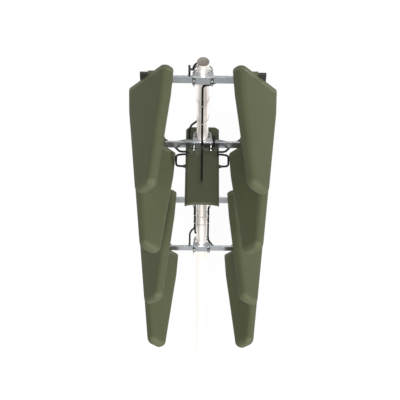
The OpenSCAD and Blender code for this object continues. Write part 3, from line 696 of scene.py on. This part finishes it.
# Rear covers.
# Compression moulded lids in a slightly darker olive, a narrow groove away from the shell. Ten
# pan head screws hold one, and its moulded grain spreads the light.
moulded = surface("moulded_olive_polyester", "#4a4c37", 0.48, sockets={"Specular IOR Level": 0.4},
                  tones=dict(width=30, dark="#464833", light="#50523c"),
                  relief=dict(width=1, height=0.05))  # moulded grain, coarser than it is
cover_edge = 6
rim_steps = 6


def cover_part():
    """The lid, from its half of the seam groove to its back with a round rim."""
    rings = [fin_ring(cover_depth, seam), fin_ring(cover_depth - seam)]
    for i in range(rim_steps + 1):
        t = pi / 2 * i / rim_steps
        rings.append(fin_ring(cover_edge * (1 - sin(t)), cover_edge * (1 - cos(t))))
    return skin(rings)


screw_spots = [(x, z) for x in (-118, 118) for z in (-18, 18)] + \
              [(x, z) for x in (-60, 60) for z in (-27, 27)] + [(-5, -27), (5, 27)]
pan_head = [(0.1, -0.4), (1.4, -0.4), (1.6, 0.5), (3.2, 0.3), (4, -0.4), (4.2, -1.5), (0.1, -1.5)]
for k in LEVELS:
    for side_name, s in SIDES.items():
        lid = [placed(k, s, cover_part())]
        piece(f"rear_lid_{k}_{side_name}", lid, moulded, f"rear_cover_{k}_{side_name}")
        screws = [placed(k, s, lathe(pan_head, (x, 0, z), (0, 1, 0), steps=24)) for x, z in screw_spots]
        piece(f"lid_screws_{k}_{side_name}", screws, plated)

# Element boards.
# Copper-clad laminate with the dipoles etched on it, so thinly tinned that the copper shows as a
# dull gold. The boards lie inside the closed radomes, and the tin's streaks run along them.
tinned = surface("tinned_copper_laminate", "#b08d4a", 0.34, metallic=1.0,
                 tones=dict(width=12, dark="#9a7a3e", light="#c2a263"),
                 relief=dict(width=0.9, stretch=(1, 0.1, 1), height=0.05))
for k in LEVELS:
    for side_name in SIDES:
        dress(f"elements_{k}_{side_name}", tinned)

# Mounts and end clamps.
# Dull moulded nylon bosses grip the crossbar behind each radome, and castings with a black powder
# coat, faintly pebbled, close its ends. Both are bolted through to the rear cover.
nylon_olive = surface("moulded_olive_nylon", "#4d4f38", 0.5,
                      tones=dict(width=30, dark="#484a35", light="#53553d"),
                      relief=dict(width=1, height=0.06))  # moulded grain, coarser than it is
powder = surface("black_powder_coat", "#262724", 0.45,
                 tones=dict(width=18, dark="#21221f", light="#2d2e2a"),
                 relief=dict(width=0.8, height=0.08))  # the powder's pebbles, coarser than they are
dress("fin_mounts", nylon_olive, edge=2)
dress("end_clamps", powder, edge=2)
end_screw_x = mount_out + 20
end_heads = [socket_screw((s * end_screw_x, mount_back, level_z[k] + z), (0, 1, 0), r=5, height=3)
             for k in LEVELS for s in SIDES.values() for z in (-12, 12)]
piece("end_clamp_screws", end_heads, plated)
bar_h = (bar_high[2] - bar_low[2]) / MM
rib_t = 3
rib_inset = 4
rib_out = 2.5
rib_above = 16
ribs = []
for k in LEVELS:
    for s in SIDES.values():
        for x in (mount_in + rib_inset, (mount_in + mount_out) / 2, mount_out - rib_inset):
            low_x, high_x = sorted((s * (x - rib_t / 2), s * (x + rib_t / 2)))
            ribs.append(block((low_x, mount_back - 1, level_z[k] - bar_h / 2),
                              (high_x, mount_back + rib_out, level_z[k] + bar_h / 2 + rib_above)))
soften(piece("mount_ribs", ribs, nylon_olive), edge=1)

# Connectors of the radomes.
# Right-angle coax connectors of turned brass, nickel plated to a warm, bright shine. A square
# flange holds each on the rear cover, and a crimped ferrule holds the cable.
nickel = surface("nickel_plated_brass", "#b5ad93", 0.22, metallic=1.0,
                 tones=dict(width=10, dark="#a39b80", light="#c3bca5"),
                 gloss=dict(width=2, low=0.16, high=0.3))
conn_r = 8
flange = 12.5
flange_t = 3
flange_screw = 9
ferrule_r = 7
turned_len = conn_reach - 8
crimp_len = conn_drop - 9


def elbow(k, s):
    """Flange, turned body, elbow and ferrule of one connector."""
    x = s * (fin_x - (1 if k % 2 else -1) * conn_off * cos(fin_roll))
    z = level_z[k] + conn_off * sin(fin_roll)
    turn_y = fin_back + conn_reach
    parts = [block((x - flange, fin_back, z - flange), (x + flange, fin_back + flange_t, z + flange))]
    for i in (-1, 1):
        for j in (-1, 1):
            spot = (x + i * flange_screw, fin_back + flange_t, z + j * flange_screw)
            parts.append(socket_screw(spot, (0, 1, 0), r=2.2, height=1.6))
    parts.append(lathe([
        (0.1, 0), (7, 0), (7, 5), (conn_r, 5.6), (conn_r, 14), (6.8, 14.6), (6.8, turned_len),
        (0.1, turned_len)], (x, fin_back, z), (0, 1, 0)))
    parts.append(block((x - 7.5, turn_y - 8, z - 8), (x + 7.5, turn_y + 7.5, z + 8)))
    parts.append(lathe([
        (0.1, 0), (6.6, 0), (6.6, 2), (ferrule_r, 2.6), (ferrule_r, 4.4), (6.2, 5), (6.2, 7),
        (ferrule_r, 7.6), (ferrule_r, crimp_len), (0.1, crimp_len)], (x, turn_y, z - 7), (0, 0, -1)))
    return parts


elbows = [part for k in LEVELS for s in SIDES.values() for part in elbow(k, s)]
soften(piece("radome_elbows", elbows, nickel, "radome_connectors"), edge=0.5)

# Combiner housing.
# A flat moulded box in the radomes' olive, dull, its colour darkened as painted shade, bevelled
# all round its top, with a hollow front edge and a slanted underside there.
shade_darkened_housing_coat = surface("olive_housing_coat", "#3d402f", 0.45, sockets={"Specular IOR Level": 0.25},
                       tones=dict(width=60, dark="#383b2b", light="#3f4230"),
                       relief=dict(width=1.5, height=0.04))  # moulded grain, coarser than it is
box_floor = box_low[2] / MM - z2
box_front = -box_low[1] / MM
box_back = box_high[1] / MM
box_hollow = 11
box_corner = 12
bevel_h = 7
front_bevel = 5
box_face = 14  # from the top to where the underside's slant starts
box_slant = 33  # how far the slant leads back
sleeve_r = mast_r + 2
hollow_steps = 16


def box_ring(side_in, front_in, z):
    """Outline of the housing at height z. It starts and turns over on the middle plane."""
    hw = box_half - side_in
    front = box_front - front_in
    half = []
    for i in range(hollow_steps + 1):
        outwards = i / hollow_steps
        half.append((outwards * hw, box_hollow * (1 - outwards ** 3) - front))
    half += [(hw, box_back - box_corner), (hw - box_corner, box_back), (0, box_back)]
    whole = half + [(-x, y) for x, y in half[-2:0:-1]]
    return [Vector((x, y, z + z2)) for x, y in whole]


def hole_ring(r, z, count=64):
    """The mast's hole at height z, from its front round to its front again."""
    turns = [-pi / 2 + 2 * pi * j / count for j in range(count)]
    return [Vector((r * cos(t), r * sin(t), z + z2)) for t in turns]


def pierced(outline, hole):
    """A flat face with a hole, as two halves that meet on the middle plane."""
    n = len(outline) // 2
    m = len(hole) // 2
    right = outline[:n + 1] + hole[:m + 1][::-1]
    left = outline[n:] + outline[:1] + hole[:1] + hole[m:][::-1]
    return right + left, [tuple(range(len(right))), tuple(range(len(right), len(right) + len(left)))]


gasket_h = 0.8
shell_rings = [
    box_ring(0, box_slant, box_floor + gasket_h), box_ring(0, 0, box_top - box_face),
    box_ring(0, 0, box_top - bevel_h), box_ring(box_bevel, front_bevel, box_top)]
hole_low = hole_ring(sleeve_r, box_floor + gasket_h)
hole_high = hole_ring(sleeve_r, box_top)
housing_parts = [
    skin(shell_rings, capped=False), skin([hole_low, hole_high], capped=False),
    pierced(shell_rings[0], hole_low), pierced(shell_rings[-1], hole_high)]
housing = piece("housing_shell", housing_parts, shade_darkened_housing_coat, "combiner_housing", angle=20)
soften(housing, edge=1.2, limit=18)

# Housing cover, gasket and circuit board.
# The underside is closed by a flat moulded lid on a dull black rubber gasket, with screws all
# round it. Inside stands the divider, a circuit board with green solder mask over its copper.
lid_rings = [box_ring(0, box_slant, box_bottom), box_ring(0, box_slant, box_floor)]
lid_low = hole_ring(sleeve_r, box_bottom)
lid_high = hole_ring(sleeve_r, box_floor)
lid_parts = [
    skin(lid_rings, capped=False), skin([lid_low, lid_high], capped=False),
    pierced(lid_rings[0], lid_low), pierced(lid_rings[1], lid_high)]
soften(piece("housing_lid", lid_parts, moulded, "combiner_cover"), edge=0.7, limit=30)

rubber = surface("black_nitrile_rubber", "#161616", 0.65,
                 tones=dict(width=5, dark="#131313", light="#1c1c1c"))
gasket_in = 1.2
gasket_z = (box_floor, box_floor + gasket_h)
gasket_rings = [box_ring(gasket_in, box_slant + gasket_in, z) for z in gasket_z]
gasket_holes = [hole_ring(sleeve_r + 1, z) for z in gasket_z]
piece("housing_gasket", [
    skin(gasket_rings, capped=False), skin(gasket_holes, capped=False),
    pierced(gasket_rings[0], gasket_holes[0]), pierced(gasket_rings[1], gasket_holes[1])],
    rubber)

lid_side = box_half - 9
lid_front = box_front - box_slant - box_hollow - 8
lid_back = box_back - 24
side_screws = 7
spots = []
for s in SIDES.values():
    for i in range(side_screws):
        y = -lid_front + (lid_front + lid_back) * i / (side_screws - 1)
        spots.append((s * lid_side, y, z2 + box_bottom))
spots += [(x, -lid_front, z2 + box_bottom) for x in (-40, 0, 40)]
lid_screws = [lathe(pan_head, spot, (0, 0, -1), steps=24) for spot in spots]
piece("lid_screws_housing", lid_screws, plated)

track_gap = 6
board = surface("green_solder_mask", "#1f4a2a", 0.35)
tree = board.node_tree
place = add(tree, "TexCoord").outputs["Object"]
add(tree, "TexBrick", {
    "Vector": place, "Scale": 1 / (track_gap * MM), "Color1": linear("#1f4a2a"),
    "Color2": linear("#2a5a34"), "Mortar": linear("#a98f55"), "Mortar Size": 0.03},
    {0: tree.nodes["Principled BSDF"].inputs["Base Color"]})
dress("combiner_board", board)

# Hangers.
# Steel plates behind the second crossbar carry the housing. They are painted with a dark grey
# green enamel that dried with a faint orange peel, and hex head bolts hold them.
paint = surface("dark_green_enamel", "#40443b", 0.38,
                tones=dict(width=25, dark="#3b3f36", light="#464a41"),
                relief=dict(width=2, height=0.05))
dress("housing_hangers", paint, edge=0.8)
hex_head = [(0.1, 0), (5.6, 0), (6.4, 0.5), (6.4, 3.4), (5.6, 4), (0.1, 4)]
hanger_t = 4
hanger_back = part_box("housing_hangers")[0][1] / MM + hanger_t
hanger_bolt_z = z2 + 6
bolts = [lathe(hex_head, (s * x, hanger_back, hanger_bolt_z), (0, 1, 0), steps=6)
         for s in SIDES.values() for x in (70, 112)]
piece("hanger_bolts", bolts, plated, angle=20)

# Cable glands.
# Moulded of the housing's olive nylon, dull all over, its colour darkened further as painted shade:
# boots on the housing's top, ribbed glands that taper along its sides, and plain screwed ferrules
# for the cables that come from above and below.
shade_darkened_nylon = surface("shaded_olive_nylon", "#33362a", 0.6, sockets={"Specular IOR Level": 0.2},
                     tones=dict(width=8, dark="#303327", light="#383b2e"),
                     relief=dict(width=1, height=0.05))  # moulded grain, coarser than it is
boot_r = 7.2
rib_pitch = 2.2
rib_taper = 0.7
side_gland = [(0.1, 0), (10, 0), (10, 3), (9.2, 3.4)]
for i in range(4):
    for r, h in ((9.2, 4), (9.3, 5.2), (8.5, 5.8)):
        side_gland.append((r - i * rib_taper, h + i * rib_pitch))
side_gland += [(6.2, gland_len), (0.1, gland_len)]
boot_profile = [(0.1, -1), (6.2, -1), (boot_r, 0), (boot_r, boot_len - 3), (boot_r - 1, boot_len - 1),
                (boot_r - 3.5, boot_len), (0.1, boot_len)]
ferrule_profile = [(0.1, 0), (6.9, 0), (6.9, 3.2), (6.2, 3.6), (6.2, 4.4), (6.9, 4.8), (6.9, 6.6),
                   (6.3, ferrule_len - 0.2), (0.1, ferrule_len - 0.2)]
glands = []
for s in SIDES.values():
    for y in (top_port_y, loop_top_y):
        glands.append(lathe(boot_profile, (s * flat_x, y, z2 + lie), (-s, 0, 0), steps=32))
    glands.append(lathe(side_gland, (s * box_half, side_port_y, z2 + side_port_z), (s, 0, 0), steps=40))
glands.append(lathe(boot_profile, (front_x, tip_port_y + boot_len, z2 + lie), (0, -1, 0), steps=32))
for x, y in ((-69.5, -20), (61, -2)):
    glands.append(lathe(ferrule_profile, (x, y, z2 + box_top), (0, 0, 1), steps=32))
for x, y in ((-74, -12), (74, -12), (-58, -12), (58, -12), (-58, 4)):
    glands.append(lathe(ferrule_profile, (x, y, z2 + box_bottom), (0, 0, -1), steps=32))
piece("moulded_glands", glands, shade_darkened_nylon, "cable_glands", angle=30)

# Cable joints.
# T-pieces of dull black rubber moulded over two splices, one beside the top clamp and one in
# front of the second. Low ribs run round their ends.
rib_h = 0.6
rib_spots = (1.2, 3.2, 5.2)


def ribbed(from_point, to_point, r, ends=(True, True)):
    """A moulded sleeve between two points, with three ribs at each marked end."""
    start = Vector(from_point)
    along = Vector(to_point) - start
    length = along.length
    low_r = r - rib_h
    profile = [(0.1, 0), (low_r, 0)]
    ribs_at = list(rib_spots) if ends[0] else []
    if ends[1]:
        ribs_at += [length - h for h in reversed(rib_spots)]
    for h in ribs_at:
        profile += [(low_r, h - 0.7), (r, h - 0.4), (r, h + 0.4), (low_r, h + 0.7)]
    profile += [(low_r, length), (0.1, length)]
    return lathe(profile, start, along.normalized(), steps=32)


up = Vector((0, 0, 1))
tee_len = 40
branch_at = 19
top_joint = Vector(tee_foot)
front_joint = Vector((front_x, front_y, z2))
joints = [
    ribbed(top_joint, top_joint + up * tee_len, r=6),
    ribbed(top_joint + up * branch_at, tee_stub, r=5.6, ends=(False, True)),
    ribbed(front_joint + up * sleeve_low, front_joint + up * sleeve_high, r=7),
    ribbed(front_joint, front_joint + Vector((sleeve_stub, 0, 0)), r=6, ends=(False, True))]
piece("moulded_joints", joints, rubber, "cable_joints", angle=30)

# Output jack.
# A nickel plated threaded jack at the end of the output lead, held behind the mast by a small
# block. Its ribbed body is gripped when the mating plug is screwed on.
jack_r = 9
groove_r = 8.4
grip_pitch = 2.4
thread_r = 7.9
thread_root = 7.2
thread_pitch = 1.6  # coarser than it is, to show
body_len = 22
jack_len = body_len + 14
socket_r = 4.2
socket_top = body_len + 4
jack_profile = [(0.1, 0), (7.6, 0), (groove_r, 1)]
for i in range(6):
    h = grip_pitch * (i + 1)
    jack_profile += [(groove_r, h), (jack_r, h + 0.6), (jack_r, h + 1.6), (groove_r, h + 2.2)]
jack_profile += [(groove_r, 18), (jack_r, 18.6), (jack_r, body_len), (7.4, body_len)]
for i in range(8):
    h = body_len + 0.6 + i * thread_pitch
    jack_profile += [(thread_root, h), (thread_r, h + 0.5), (thread_r, h + 0.7), (thread_root, h + 1.2)]
jack_profile += [(6.9, jack_len), (socket_r, jack_len), (socket_r, socket_top), (0.1, socket_top)]
jack = lathe(jack_profile, (0, jack_y, jack_z), (0, 0, -1))
holder = block((-5, mast_r, jack_z - body_len + 2), (5, jack_y, jack_z - 2))
pin_profile = [(0.1, 0), (0.9, 0.8), (0.9, 9), (0.1, 9)]
pin = lathe(pin_profile, (0, jack_y, jack_z - body_len - 12), steps=16)
soften(piece("output_jack", [jack, holder, pin], nickel, "feeder_connector"), edge=0.2)
